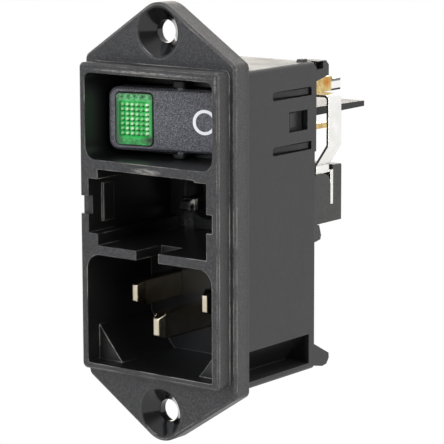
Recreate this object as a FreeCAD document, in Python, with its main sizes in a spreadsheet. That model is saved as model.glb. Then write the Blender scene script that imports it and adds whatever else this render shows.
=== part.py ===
import FreeCAD, Part
import os
import re

import Sketcher

# Panel-mounted power entry module: mains inlet, empty fuse drawer opening and illuminated
# two-pole rocker switch in one flanged housing.
# Frame: X to the right seen from the front, Y rearwards into the panel, Z up.
# The origin lies midway between the two flange holes, on the flange's rear (panel) face.

doc = FreeCAD.newDocument("power_entry_module")
sheet = doc.addObject("Spreadsheet::Sheet", "Sizes")
pieces = []

sizes = {
    # Flange and rim
    "flange_thickness": 3.46,
    "flange_width": 29.6,
    "flange_bevel": 0.4,
    "ear_slope": 33.7,
    "ear_corner_height": 25.6,
    "ear_tip_radius": 4.5,
    "ear_corner_radius": 1.2,
    "hole_spacing": 60,
    "hole_radius": 1.8,
    "countersink_radius": 3.95,
    "countersink_lip": 0.25,
    "rim_height": 2.82,
    "rim_width": 27.4,
    "rim_top": 24.84,
    "rim_bottom": 24.0,
    "rim_corner": 0.9,
    "rim_bevel": 0.3,
    # Body behind the panel
    "body_width": 27.1,
    "body_top": 24.34,
    "body_bottom": 25.3,
    "body_depth": 19.16,
    "body_corner": 0.8,
    "upper_step": 0.39,
    "wall": 1.0,
    "edge_round": 0.35,
    "fit_gap": 0.15,
    "crush_rib": 0.4,
    "crush_front": 1.9,
    "crush_rear": 0.2,
    # Switch compartment
    "switch_floor": 9.7,
    "switch_roof": 23.3,
    "switch_corner_low": 2.0,
    "switch_corner_high": 1.2,
    "bezel_front": 3.9,
    "bezel_thickness": 0.8,
    "switch_level": 15.74,
    "pole_offset": 3.4,
    "base_height": 11.6,
    "base_wall": 0.5,
    "pocket_floor": 12.0,
    "guide_front": 7.8,
    "guide_inset": 0.86,
    "guide_width": 1.35,
    "guide_offset": 4.3,
    "guide_drop": 0.2,
    "snap_length": 5.0,
    "snap_inset": 1.96,
    "snap_low": 13.8,
    "snap_high": 17.0,
    "barb_gap": 0.3,
    # Rocker
    "rocker_half": 12.25,
    "rocker_height": 10.0,
    "rocker_face": 1.0,
    "rocker_skin": 1.2,
    "rocker_wall": 1.2,
    "rocker_end": 0.9,
    "rocker_corner": 1.7,
    "rocker_bevel": 0.4,
    "belly_half": 3.4,
    "belly_slope": 0.6,
    "pivot_depth": 2.45,
    "rocker_tilt": 15,
    "pin_radius": 0.8,
    "trunnion_length": 0.74,
    "running_gap": 0.05,
    "ear_half": 1.3,
    "ear_front": 1.2,
    "mouth_gap": 0.24,
    # Lens and lamp
    "lens_left": 11.05,
    "lens_width": 6.62,
    "lens_height": 8.56,
    "lens_corner": 0.9,
    "lens_gap": 0.2,
    "lens_proud": 0.1,
    "lens_lip": 0.3,
    "groove_depth": 0.2,
    "column_pitch": 0.8,
    "row_pitch": 0.76,
    "lamp_radius": 1.6,
    "lamp_length": 6.6,
    "resistor_radius": 0.8,
    "resistor_length": 3.6,
    "resistor_offset": 4.0,
    "lead_radius": 0.25,
    "lead_length": 1.6,
    # Plungers, springs and levers
    "plunger_reach": 7.75,
    "plunger_radius": 0.95,
    "plunger_tip": 0.8,
    "plunger_length": 4.4,
    "spring_wire": 0.22,
    "spring_turns": 3,
    "lever_front": 10.3,
    "lever_thickness": 0.6,
    "lever_width": 2.2,
    "lever_bend": 14,
    "lever_tilt": 6,
    "lever_contact_arm": 7.6,
    "lever_free_arm": 5.2,
    "contact_arm": 6.6,
    "contact_radius": 0.9,
    "contact_height": 0.5,
    "contact_gap": 0.1,
    # Switch terminals and barrier
    "blade_thickness": 0.8,
    "blade_width": 1.9,
    "blade_step": 0.5,
    "foot_height": 2.5,
    "blade_reach": 13.34,
    "upper_blade_level": 19.45,
    "lower_blade_level": 13.0,
    "shoulder_reach": 10.44,
    "fixed_blade_face": 9.4,
    "barrier_half": 10.2,
    "barrier_reach": 18.94,
    "barrier_root": 1.5,
    "barrier_tip": 0.88,
    "barrier_drop": 0.1,
    # Fuse drawer opening
    "fuse_left": 10.1,
    "fuse_right": 11.4,
    "fuse_floor": 3.9,
    "fuse_roof": 8.2,
    "fuse_notch_left": 12.0,
    "fuse_notch_right": 12.5,
    "left_notch_top": 6.65,
    "left_notch_bottom": 2.0,
    "right_notch_top": 3.2,
    "right_notch_bottom": 0.33,
    "roof_step": 0.3,
    "roof_step_x": 9.07,
    "fuse_cavity_depth": 14.5,
    "dip_low": 0.9,
    "dip_high": 3.8,
    "dip_depth": 1.0,
    "pull_slot_left": 2.4,
    "pull_slot_right": 2.0,
    "pad_proud": 0.4,
    "pad_front": 3.0,
    "pad_rear": 0.4,
    "pad_low": 0.6,
    "pad_high": 5.5,
    # Fuse block
    "tube_radius": 4.2,
    "tube_lead": 0.3,
    "tube_offset": 4.6,
    "tube_level": 2.3,
    "tube_depth": 4.6,
    "block_half": 11.0,
    "block_bottom": 2.65,
    "block_top": 5.5,
    "block_reach": 8.14,
    "block_corner": 2.0,
    "block_clear": 0.1,
    "chamber_bottom": 1.5,
    "chamber_corner": 1.5,
    "plate_recess": 0.15,
    "slot_width": 0.85,
    "slot_bottom": 0.2,
    "shield_thickness": 2.45,
    "shield_top": 6.6,
    "latch_reach": 13.1,
    # Straps and fuse contacts
    "strap": 0.4,
    "strap_width": 3.6,
    "strap_set": 4.64,
    "strap_out": 12.94,
    "strap_in": 10.6,
    "kink_high": 10.26,
    "kink_low": 6.8,
    "tail_width": 2.0,
    "tail_end": 1.2,
    "tongue_gap": 0.06,
    "contact_strip": 0.8,
    "contact_height_z": 1.8,
    "link_x": 8.6,
    "link_width": 2.4,
    "finger_level": 0.9,
    "finger_half": 0.8,
    # Inlet
    "inlet_half": 12.4,
    "inlet_top": 5.4,
    "inlet_bottom": 23.0,
    "inlet_corner": 2.5,
    "chamfer_across": 4.7,
    "chamfer_up": 5.7,
    "inlet_floor": 9.7,
    "floor_thickness": 2.8,
    "pin_pitch": 14,
    "pin_width": 2,
    "pin_height": 4,
    "live_level": 12,
    "earth_level": 16,
    "live_tip": 1.15,
    "live_full": 0.45,
    "earth_tip": 4.5,
    "earth_full": 3.1,
    "tip_width": 0.9,
    "tip_height": 2.6,
    "link_set": 0.5,
    "earth_tab_width": 4.8,
    "earth_tab_reach": 7.84,
    "tab_corner": 1.0,
    "tab_hole_radius": 0.7,
    "tab_hole_inset": 3.2,
    "window_front": 0.6,
    "window_inset": 1.41,
    "window_low": 24.1,
    "window_high": 19.3,
    # Snap prongs
    "prong_width": 3.0,
    "prong_length": 3.79,
    "prong_heel": 3.2,
    "prong_toe": 2.4,
    "prong_bevel": 0.75,
    "prong_gap": 1.25,
    "foot_heel": 4.1,
    "foot_toe": 1.5,
}
for row, (alias, number) in enumerate(sizes.items(), 1):
    sheet.set(f"A{row}", alias)
    sheet.set(f"B{row}", str(number))
    sheet.setAlias(f"B{row}", alias)


# Places that follow from the sizes
places = {
    "prong_end": "(body_depth + prong_length)",
    "guide_rear": "(body_depth - guide_inset)",
    "snap_rear": "(body_depth - snap_inset)",
    "snap_front": "(body_depth - snap_inset - snap_length)",
    "window_rear": "(body_depth - window_inset)",
    "block_rear": "(body_depth + block_reach)",
    "strap_front": "(body_depth + strap_set)",
    "shoulder_end": "(body_depth + shoulder_reach)",
    "blade_end": "(body_depth + blade_reach)",
    "barrier_end": "(body_depth + barrier_reach)",
    "earth_tab_end": "(body_depth + earth_tab_reach)",
    "live_rear": "(fuse_cavity_depth + link_set)",
}


def bound(text):
    """Spell out the places and turn the plain names in an expression into cells of the sheet."""
    spelled = re.sub(r"[a-z_]\w*", lambda m: places.get(m.group(), m.group()), str(text))
    return re.sub(r"[a-z_]\w*", lambda m: f"Sizes.{m.group()}" if m.group() in sizes else m.group(), spelled)


def bind(thing, prop, text):
    thing.setExpression(prop, bound(text))


def place(thing, x, y, z):
    for axis, text in zip("xyz", (x, y, z)):
        bind(thing, f".Placement.Base.{axis}", text)


def block(name, x, y, z):
    """A box between pairs of expressions along X, Y and Z."""
    box = doc.addObject("Part::Box", name)
    for side, (low, high) in zip(("Length", "Width", "Height"), (x, y, z)):
        bind(box, side, f"({high}) - ({low})")
    place(box, x[0], y[0], z[0])
    return box


ALONG = {
    "x": FreeCAD.Rotation(FreeCAD.Vector(0, 1, 0), 90),
    "y": FreeCAD.Rotation(FreeCAD.Vector(1, 0, 0), -90),
    "z": FreeCAD.Rotation(),
}


def seat(thing, axis, centre, low):
    """Lay a turned shape along an axis, its foot at low and its centre line at centre."""
    thing.Placement = FreeCAD.Placement(FreeCAD.Vector(), ALONG[axis])
    spots = list(centre)
    spots.insert("xyz".index(axis), low)
    place(thing, *spots)


def rod(name, axis, centre, radius, low, high):
    cylinder = doc.addObject("Part::Cylinder", name)
    bind(cylinder, "Radius", radius)
    bind(cylinder, "Height", f"({high}) - ({low})")
    seat(cylinder, axis, centre, low)
    return cylinder


def taper(name, axis, centre, low_radius, high_radius, low, high):
    cone = doc.addObject("Part::Cone", name)
    bind(cone, "Radius1", low_radius)
    bind(cone, "Radius2", high_radius)
    bind(cone, "Height", f"({high}) - ({low})")
    seat(cone, axis, centre, low)
    return cone


def ball(name, centre, radius):
    sphere = doc.addObject("Part::Sphere", name)
    bind(sphere, "Radius", radius)
    place(sphere, *centre)
    return sphere


def cut(name, base, *tools):
    """Base less the tools."""
    result = doc.addObject("Part::Cut", name)
    result.Base = base
    result.Tool = tools[0] if len(tools) == 1 else join(f"{name}_tools", *tools)
    result.Refine = True
    return result


def join(name, *parts):
    result = doc.addObject("Part::MultiFuse", name)
    result.Shapes = list(parts)
    result.Refine = True
    return result


def overlap(name, first, second):
    result = doc.addObject("Part::Common", name)
    result.Base = first
    result.Tool = second
    return result


def mirror(name, source):
    """The same shape on the other side of the middle plane X = 0."""
    result = doc.addObject("Part::Mirroring", name)
    result.Source = source
    result.Normal = FreeCAD.Vector(1, 0, 0)
    return result


def both_sides(name, source):
    return [source, mirror(f"{name}_left", source)]


def prism(name, plane, points, low, high, rounds=None):
    """A body padded from a closed outline of expression pairs, drawn on an origin plane.

    rounds gives a radius for each numbered corner that is rounded along the pad.
    """
    body = doc.addObject("PartDesign::Body", name)
    sketch = body.newObject("Sketcher::SketchObject", f"{name}_outline")
    role = {"xy": "XY_Plane", "xz": "XZ_Plane", "yz": "YZ_Plane"}[plane]
    support = [item for item in body.Origin.OriginFeatures if item.Role == role][0]
    sketch.AttachmentSupport = [(support, "")]
    sketch.MapMode = "FlatFace"
    bind(sketch, ".AttachmentOffset.Base.z", f"-({high})" if plane == "xz" else low)
    count = len(points)
    for index in range(count):
        start = FreeCAD.Vector(index, index * index, 0)
        following = (index + 1) % count
        end = FreeCAD.Vector(following, following * following, 0)
        sketch.addGeometry(Part.LineSegment(start, end), False)
    for index in range(count):
        sketch.addConstraint(Sketcher.Constraint("Coincident", index, 2, (index + 1) % count, 1))
    for index, (across, up) in enumerate(points):
        for kind, text in (("DistanceX", across), ("DistanceY", up)):
            number = sketch.addConstraint(Sketcher.Constraint(kind, -1, 1, index, 1, 1.0))
            sketch.setExpression(f"Constraints[{number}]", bound(text))
    pad = body.newObject("PartDesign::Pad", f"{name}_pad")
    pad.Profile = sketch
    bind(pad, "Length", f"({high}) - ({low})")
    body.Tip = pad
    if rounds:
        doc.recompute()
        corners = [sketch.getGlobalPlacement().multVec(sketch.Geometry[i].StartPoint) for i in range(count)]
        normal = sketch.getGlobalPlacement().Rotation.multVec(FreeCAD.Vector(0, 0, 1))
        for radius in sorted(set(rounds.values())):
            spots = [corners[i] for i in rounds if rounds[i] == radius]
            before = body.Tip
            fillet = body.newObject("PartDesign::Fillet", f"{name}_round")
            fillet.Base = (before, edges_at(before.Shape, spots, normal))
            bind(fillet, "Radius", radius)
            body.Tip = fillet
            doc.recompute()
    return body


def edges_at(shape, spots, normal):
    """Straight edges that run along the normal through any of the spots."""
    found = []
    for number, edge in enumerate(shape.Edges, 1):
        start, end = edge.Vertexes[0].Point, edge.Vertexes[-1].Point
        run = end - start
        if run.Length < 1e-6 or run.cross(normal).Length > 1e-6 * run.Length:
            continue
        for spot in spots:
            if (spot - start).cross(normal).Length < 1e-4:
                found.append(f"Edge{number}")
                break
    return found


def rectangle(x, z):
    return [(x[0], z[0]), (x[1], z[0]), (x[1], z[1]), (x[0], z[1])]


def bevel_end(body, name, axis, sign, amount):
    """Bevel every edge of a body's outermost flat face along an axis."""
    doc.recompute()
    before = body.Tip
    shape = before.Shape
    faces = [f for f in shape.Faces if f.Surface.TypeId == "Part::GeomPlane"]
    reach = max(faces, key=lambda f: sign * getattr(f.CenterOfMass, axis))
    edges = [f"Edge{n}" for n, edge in enumerate(shape.Edges, 1)
             if any(edge.isSame(rim_edge) for rim_edge in reach.Edges)]
    bevel = body.newObject("PartDesign::Chamfer", name)
    bevel.Base = (before, edges)
    bind(bevel, "Size", amount)
    body.Tip = bevel


def piece(label, thing):
    """Register a finished sub-part under the name of its node."""
    thing.Label = label
    pieces.append(thing)
    return thing


rim_front = "-(flange_thickness + rim_height)"
flange_front = "-flange_thickness"
half_body = "body_width / 2"
half_chamber = "(body_width / 2 - wall)"
rear = "body_depth"
upper_rear = "(body_depth + upper_step)"

# Housing
# One black moulding: the eared flange, the raised rim and the box behind the panel, with the
# switch compartment, the fuse drawer opening and the inlet cavity one above the other.
ear_rise = "(flange_width / 2 * tan(ear_slope))"
ear_apex = f"(ear_corner_height + {ear_rise})"
flange = prism("flange", "xz", [
    ("-flange_width / 2", "-ear_corner_height"),
    ("0", f"-{ear_apex}"),
    ("flange_width / 2", "-ear_corner_height"),
    ("flange_width / 2", "ear_corner_height"),
    ("0", ear_apex),
    ("-flange_width / 2", "ear_corner_height"),
], flange_front, "0", {
    0: "ear_corner_radius", 2: "ear_corner_radius", 3: "ear_corner_radius", 5: "ear_corner_radius",
    1: "ear_tip_radius", 4: "ear_tip_radius",
})
bevel_end(flange, "flange_edge", "y", -1, "flange_bevel")
rim = prism("rim", "xz", rectangle(("-rim_width / 2", "rim_width / 2"), ("-rim_bottom", "rim_top")),
            rim_front, flange_front, {n: "rim_corner" for n in range(4)})
bevel_end(rim, "rim_edge", "y", -1, "rim_bevel")
box_low = prism("box_low", "xz", rectangle((f"-{half_body}", half_body), ("-body_bottom", "body_top")),
                "0", rear, {n: "body_corner" for n in range(4)})
box_high = block("box_high", (f"-{half_body}", half_body), (f"{rear} - wall", upper_rear),
                 ("switch_floor + edge_round", "body_top - body_corner"))
solid = join("solid", flange, rim, box_low, box_high)

hole_cuts = []
for end, sign in (("top", ""), ("bottom", "-")):
    level = f"{sign}hole_spacing / 2"
    hole_cuts.append(rod(f"screw_hole_{end}", "y", ("0", level), "hole_radius", flange_front, "0"))
    hole_cuts.append(taper(f"countersink_{end}", "y", ("0", level), "countersink_radius", "hole_radius",
                           flange_front, f"{flange_front} + countersink_radius - hole_radius"))
    hole_cuts.append(taper(f"countersink_lip_{end}", "y", ("0", level), "countersink_radius + countersink_lip",
                           "countersink_radius", flange_front, f"{flange_front} + countersink_lip / 2"))

# The switch compartment is wide open in front; behind the bezel its roof comes down to the switch.
base_low = "(switch_level - base_height / 2)"
base_high = "(switch_level + base_height / 2)"
switch_mouth = prism("switch_mouth", "xz",
                     rectangle((f"-{half_chamber}", half_chamber), ("switch_floor", "switch_roof")),
                     rim_front, "bezel_front + bezel_thickness",
                     {0: "switch_corner_low", 1: "switch_corner_low",
                      2: "switch_corner_high", 3: "switch_corner_high"})
switch_bore = block("switch_bore", (f"-{half_chamber}", half_chamber), ("bezel_front", upper_rear),
                    ("switch_floor", f"{base_high} + fit_gap"))

# The fuse drawer opening: a keyed outline in front, then a plain cavity.
fuse_mouth = prism("fuse_mouth", "xz", [
    ("-fuse_left", "-fuse_floor"),
    ("fuse_right", "-fuse_floor"),
    ("fuse_right", "right_notch_bottom"),
    ("fuse_notch_right", "right_notch_bottom"),
    ("fuse_notch_right", "right_notch_top"),
    ("fuse_right", "right_notch_top"),
    ("fuse_right", "fuse_roof - roof_step"),
    ("roof_step_x", "fuse_roof - roof_step"),
    ("roof_step_x", "fuse_roof"),
    ("-fuse_left", "fuse_roof"),
    ("-fuse_left", "left_notch_top"),
    ("-fuse_notch_left", "left_notch_top"),
    ("-fuse_notch_left", "-left_notch_bottom"),
    ("-fuse_left", "-left_notch_bottom"),
], rim_front, "fuse_cavity_depth")
fuse_rear = block("fuse_rear", (f"-{half_chamber}", half_chamber),
                  ("fuse_cavity_depth", upper_rear), ("-fuse_floor", "fuse_roof"))
rim_dip = block("rim_dip", ("-rim_width / 2", "-fuse_left"), (rim_front, f"{rim_front} + dip_depth"),
                ("dip_low", "dip_high"))

# The slot through the web lets a tool pull the drawer.
pull_slot = block("pull_slot", ("-pull_slot_left", "pull_slot_right"), (rim_front, "0"),
                  ("-inlet_top - wall", "-fuse_floor + wall"))

# The inlet: a plain mouth through the rim, then the keyed cavity with two bevelled corners. The
# recess behind the cavity's floor has the same outline.
inlet_mouth = prism("inlet_mouth", "xz",
                    rectangle(("-inlet_half", "inlet_half"), ("-inlet_bottom", "-inlet_top")),
                    rim_front, flange_front,
                    {0: "edge_round", 1: "edge_round", 2: "inlet_corner", 3: "inlet_corner"})
keyed_outline = [
    ("-inlet_half + chamfer_across", "-inlet_bottom"),
    ("inlet_half - chamfer_across", "-inlet_bottom"),
    ("inlet_half", "-inlet_bottom + chamfer_up"),
    ("inlet_half", "-inlet_top"),
    ("-inlet_half", "-inlet_top"),
    ("-inlet_half", "-inlet_bottom + chamfer_up"),
]
inlet_cavity = prism("inlet_cavity", "xz", keyed_outline, flange_front, "inlet_floor",
                     {3: "inlet_corner", 4: "inlet_corner"})
inlet_rear = prism("inlet_rear", "xz", keyed_outline, "inlet_floor + floor_thickness", rear)

# Corner pockets outside the cavity's bevels, open through a window in each side wall.
pocket = prism("pocket", "xz", [
    (f"{half_body}", "-window_low"),
    (f"{half_body}", "-window_high"),
    (f"{half_chamber}", "-window_high"),
    ("inlet_half - chamfer_across + wall", "-window_low"),
], "window_front", "window_rear")

# Guide slots and snap window of the switch in the side walls.
guide_cuts = []
for end, sign in (("high", "+"), ("low", "-")):
    middle = f"(switch_level - guide_drop {sign} guide_offset)"
    guide_cuts.append(prism(f"guide_{end}", "yz", [
        ("guide_front", f"{middle} - guide_width / 2"),
        ("guide_rear", f"{middle} - guide_width / 2"),
        ("guide_rear", f"{middle} + guide_width / 2"),
        ("guide_front", f"{middle} + guide_width / 2"),
    ], f"{half_chamber} - edge_round", half_body, {0: "guide_width * 0.4", 3: "guide_width * 0.4"}))
snap_window = block("snap_window", (f"{half_chamber} - edge_round", half_body),
                    ("snap_front", "snap_rear"), ("snap_low", "snap_high"))

side_cuts = []
for cutter in (pocket, guide_cuts[0], guide_cuts[1], snap_window):
    side_cuts += both_sides(cutter.Name, cutter)

# Slots in the web behind the fuse opening, where the links rise from the inlet pins.
link_slots = both_sides("link_slot", block(
    "link_slot", ("link_x - link_width / 2 - block_clear", "link_x + link_width / 2 + block_clear"),
    ("live_rear - block_clear", rear), ("-inlet_top - block_clear", "-fuse_floor + block_clear")))

# Passages for the three inlet pins through the floor of the cavity.
pin_cuts = []
for side, middle in (("line", "pin_pitch / 2"), ("neutral", "-pin_pitch / 2")):
    pin_cuts.append(block(f"{side}_passage", (f"{middle} - pin_width / 2", f"{middle} + pin_width / 2"),
                          ("inlet_floor", "inlet_floor + floor_thickness"),
                          ("-live_level - pin_height / 2", "-live_level + pin_height / 2")))
pin_cuts.append(block("earth_passage", ("-pin_width / 2", "pin_width / 2"),
                      ("inlet_floor", "inlet_floor + floor_thickness"),
                      ("-earth_level - pin_height / 2", "-earth_level + pin_height / 2")))

# Snap prongs at the rear corners, each with a latch pocket in its outer face.
top_prong = prism("top_prong", "yz", [
    (f"{rear} - wall", "body_top - prong_heel - wall"),
    (rear, "body_top - prong_heel"),
    ("prong_end", "body_top - prong_toe"),
    ("prong_end", "body_top - prong_bevel"),
    ("prong_end - prong_bevel", "body_top"),
    (f"{rear} + prong_bevel", "body_top"),
    (f"{rear} + prong_bevel", "body_top - prong_gap"),
    (f"{rear}", "body_top - prong_gap - 0.2"),
    (f"{rear} - wall", "body_top - prong_gap - 0.2"),
], f"{half_body} - prong_width", half_body)
latch = block("latch", (f"{half_body} - prong_width / 2", half_body),
              (f"{rear} + prong_bevel", "prong_end - prong_bevel * 2"),
              ("body_top - prong_gap", "body_top - 0.12"))
top_prong_cut = cut("top_prong_cut", top_prong, latch)
bottom_prong = prism("bottom_prong", "yz", [
    (f"{rear} - wall", "-body_bottom + foot_heel + wall * 0.8"),
    (f"{rear}", "-body_bottom + foot_heel"),
    ("prong_end + 0.35", "-body_bottom + foot_toe + 0.4"),
    ("prong_end + 0.4", "-body_bottom + foot_toe - 0.4"),
    ("prong_end - 0.25", "-body_bottom + 0.2"),
    ("prong_end - 1.4", "-body_bottom"),
    (f"{rear}", "-body_bottom + 0.5"),
    (f"{rear} - wall", "-body_bottom + 0.9"),
], f"{half_body} - prong_width", half_body)
prongs = both_sides("top_prong_cut", top_prong_cut) + both_sides("bottom_prong", bottom_prong)

# A small crush rib on the roof near the rear holds the module tight in the panel.
crush = both_sides("crush_rib_bar", prism("crush_rib_bar", "yz", [
    (f"{rear} - crush_front - crush_rib", "body_top - wall / 2"),
    (f"{rear} - crush_rear", "body_top - wall / 2"),
    (f"{rear} - crush_rear", "body_top + crush_rib"),
    (f"{rear} - crush_front + crush_rib", "body_top + crush_rib"),
], f"{half_body} - 2.4", f"{half_body} - 1.4"))

# The raised guide pad on the left wall of the fuse opening.
guide_pad = block("guide_pad", ("-fuse_notch_left - pad_proud", "-fuse_notch_left + pad_proud"),
                  ("-pad_front", "-pad_rear"), ("-pad_low", "pad_high"))

hollow = cut("hollow", solid, *hole_cuts, switch_mouth, switch_bore, fuse_mouth, fuse_rear, rim_dip,
             pull_slot, inlet_mouth, inlet_cavity, inlet_rear, *side_cuts, *link_slots, *pin_cuts)
housing = piece("housing", join("housing_shape", hollow, *prongs, *crush, guide_pad))

# Rocker
# Built level about its pivot and then tilted to its off position, right end pressed in.
tilt = "rocker_tilt"


def rock(thing):
    """Tilt a piece of the rocker about the pivot's axis."""
    thing.Placement = FreeCAD.Placement(FreeCAD.Vector(), FreeCAD.Rotation(FreeCAD.Vector(0, 0, 1), 1))
    bind(thing, ".Placement.Rotation.Angle", tilt)
    bind(thing, ".Placement.Base.x", f"pivot_depth * sin({tilt})")
    bind(thing, ".Placement.Base.y", f"pivot_depth * (1 - cos({tilt}))")
    return thing


face = "(pivot_depth - rocker_face)"
inside = "(pivot_depth - rocker_face + rocker_skin)"
rocker_low = "(switch_level - rocker_height / 2)"
rocker_high = "(switch_level + rocker_height / 2)"
rocker_section = prism("rocker_section", "xy", [
    ("-rocker_half", face),
    ("rocker_half", face),
    ("rocker_half - 0.3", "pivot_depth + 0.6"),
    ("rocker_half - 1.5", "pivot_depth + 2.2"),
    ("belly_half + belly_slope", "pivot_depth + 2.4"),
    ("belly_half", "pivot_depth + 3.2"),
    ("-belly_half", "pivot_depth + 3.2"),
    ("-belly_half - belly_slope", "pivot_depth + 2.4"),
    ("-rocker_half + 1.5", "pivot_depth + 2.2"),
    ("-rocker_half + 0.3", "pivot_depth + 0.6"),
], rocker_low, rocker_high)
rocker_outline = prism("rocker_outline", "xz",
                       rectangle(("-rocker_half", "rocker_half"), (rocker_low, rocker_high)),
                       face, "pivot_depth + 3.2", {n: "rocker_corner" for n in range(4)})
bevel_end(rocker_outline, "rocker_edge", "y", -1, "rocker_bevel")
rocker_solid = overlap("rocker_solid", rocker_section, rocker_outline)
rocker_hollow = block("rocker_hollow", ("-rocker_half + rocker_end", "rocker_half - rocker_end"),
                      (inside, "pivot_depth + 4"),
                      (f"{rocker_low} + rocker_wall", f"{rocker_high} - rocker_wall"))
tubes = []
bores = []
for pole, sign in (("upper", "+"), ("lower", "-")):
    level = f"(switch_level {sign} pole_offset)"
    tubes.append(rod(f"tube_{pole}", "y", ("0", level), "plunger_radius + running_gap + 0.35",
                     f"{inside} - 0.3", "pivot_depth + 5"))
    bores.append(rod(f"bore_{pole}", "y", ("0", level), "plunger_radius + running_gap",
                     inside, "pivot_depth + 6"))
trunnions = rod("trunnions", "z", ("0", "pivot_depth"), "pin_radius",
                f"{rocker_low} - trunnion_length", f"{rocker_high} + trunnion_length")
trunnion_gap = block("trunnion_gap", ("-2", "2"), ("pivot_depth - 1.5", "pivot_depth + 1.5"),
                     (f"{rocker_low} + rocker_wall / 2", f"{rocker_high} - rocker_wall / 2"))
trunnion_pair = cut("trunnion_pair", trunnions, trunnion_gap)
lens_x = ("-lens_left", "-lens_left + lens_width")
lens_z = ("switch_level - lens_height / 2", "switch_level + lens_height / 2")
lens_opening = prism("lens_opening", "xz", rectangle(lens_x, lens_z), f"{face} - 1", inside,
                     {n: "lens_corner" for n in range(4)})
rocker_shell = cut("rocker_shell", rocker_solid, rocker_hollow)
rocker_inner = join("rocker_inner", rocker_shell, *tubes, trunnion_pair)
rocker = piece("rocker", rock(cut("rocker_shape", rocker_inner, lens_opening, *bores)))

# Lens
# Clear green cap in the rocker's left half, with a grid of grooves that scatters the lamp's light.
lens_front_x = ("-lens_left + lens_gap", "-lens_left + lens_width - lens_gap")
lens_front_z = ("switch_level - lens_height / 2 + lens_gap", "switch_level + lens_height / 2 - lens_gap")
lens_cap = prism("lens_cap", "xz", rectangle(lens_front_x, lens_front_z), f"{face} - lens_proud",
                 f"{inside} - 0.03", {n: "lens_corner - lens_gap" for n in range(4)})
lens_core = block("lens_core", lens_front_x, (f"{inside} - 0.5", f"{inside} + 0.5"),
                  (f"{rocker_low} + rocker_wall + 0.05", f"{rocker_high} - rocker_wall - 0.05"))
lens_flange = block("lens_flange", ("-lens_left - lens_lip + 0.05", "-lens_left + lens_width + lens_lip"),
                    (f"{inside} + 0.02", f"{inside} + 0.5"),
                    (f"{rocker_low} + rocker_wall + 0.05", f"{rocker_high} - rocker_wall - 0.05"))
lens_solid = join("lens_solid", lens_cap, lens_core, lens_flange)
lens_middle_x = "(-lens_left + lens_width / 2)"
groove_front = f"{face} - lens_proud"
grooves = []
columns = 6
rows = 7
field_x = f"({columns} / 2 * column_pitch)"
field_z = f"({rows} / 2 * row_pitch)"
for index in range(columns + 1):
    middle = f"({lens_middle_x} - {field_x} + {index} * column_pitch)"
    grooves.append(prism(f"column_groove_{index}", "xy", [
        (f"{middle} - groove_depth", f"{groove_front} - 0.01"),
        (f"{middle} + groove_depth", f"{groove_front} - 0.01"),
        (middle, f"{groove_front} + groove_depth"),
    ], f"switch_level - {field_z}", f"switch_level + {field_z}"))
for index in range(rows + 1):
    middle = f"(switch_level - {field_z} + {index} * row_pitch)"
    grooves.append(prism(f"row_groove_{index}", "yz", [
        (f"{groove_front} - 0.01", f"{middle} - groove_depth"),
        (f"{groove_front} + groove_depth", middle),
        (f"{groove_front} - 0.01", f"{middle} + groove_depth"),
    ], f"{lens_middle_x} - {field_x}", f"{lens_middle_x} + {field_x}"))
piece("rocker_lens", rock(cut("lens_shape", lens_solid, *grooves)))

# Neon lamp
# A glass bulb behind the lens, drawn off to a tip at its upper end.
lamp_x = lens_middle_x
lamp_y = f"({inside} + 0.5 + lamp_radius + fit_gap)"
lamp_low = "(switch_level - lamp_length / 2)"
lamp_high = "(switch_level + lamp_length / 2)"
lamp_tube = rod("lamp_tube", "z", (lamp_x, lamp_y), "lamp_radius", lamp_low, f"{lamp_high} - lamp_radius")
lamp_dome = ball("lamp_dome", (lamp_x, lamp_y, f"{lamp_high} - lamp_radius"), "lamp_radius")
piece("neon_lamp", rock(join("lamp_shape", lamp_tube, lamp_dome)))

# Plungers and springs
# A sliding pin in each tube, pushed onto its contact lever by a coil spring.
for pole, sign in (("upper", "+"), ("lower", "-")):
    level = f"(switch_level {sign} pole_offset)"
    tip_centre = "(pivot_depth + plunger_reach - plunger_tip)"
    shank_low = "(pivot_depth + plunger_reach - plunger_tip - plunger_length)"
    shank = rod(f"shank_{pole}", "y", ("0", level), "plunger_radius", shank_low, f"{tip_centre} - 0.6")
    neck = rod(f"neck_{pole}", "y", ("0", level), "plunger_tip", f"{tip_centre} - 0.7", tip_centre)
    nose = ball(f"nose_{pole}", ("0", tip_centre, level), "plunger_tip")
    piece(f"plunger_{pole}", rock(join(f"plunger_{pole}_shape", shank, neck, nose)))

    helix = doc.addObject("Part::Helix", f"coil_{pole}")
    bind(helix, "Radius", "plunger_radius - spring_wire - 0.1")
    bind(helix, "Height", f"{shank_low} - {inside} - spring_wire * 1.2")
    bind(helix, "Pitch", f"({shank_low} - {inside} - spring_wire * 1.2) / spring_turns")
    wire = doc.addObject("Part::RegularPolygon", f"wire_{pole}")
    wire.Polygon = 4
    bind(wire, "Circumradius", "spring_wire / 2")
    wire.Placement = FreeCAD.Placement(FreeCAD.Vector(), FreeCAD.Rotation(FreeCAD.Vector(1, 0, 0), 90))
    place(wire, "plunger_radius - spring_wire - 0.1", "0", "0")
    coil = doc.addObject("Part::Sweep", f"sweep_{pole}")
    coil.Sections = [wire]
    coil.Spine = (helix, ["Edge1"])
    coil.Solid = True
    coil.Frenet = True
    coil.Placement = FreeCAD.Placement(FreeCAD.Vector(), FreeCAD.Rotation(FreeCAD.Vector(1, 0, 0), -90))
    place(coil, "0", f"{inside} + spring_wire * 0.6", level)
    spring = doc.addObject("Part::Compound", f"spring_{pole}")
    spring.Links = [coil]
    piece(f"plunger_spring_{pole}", rock(spring))

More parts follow.
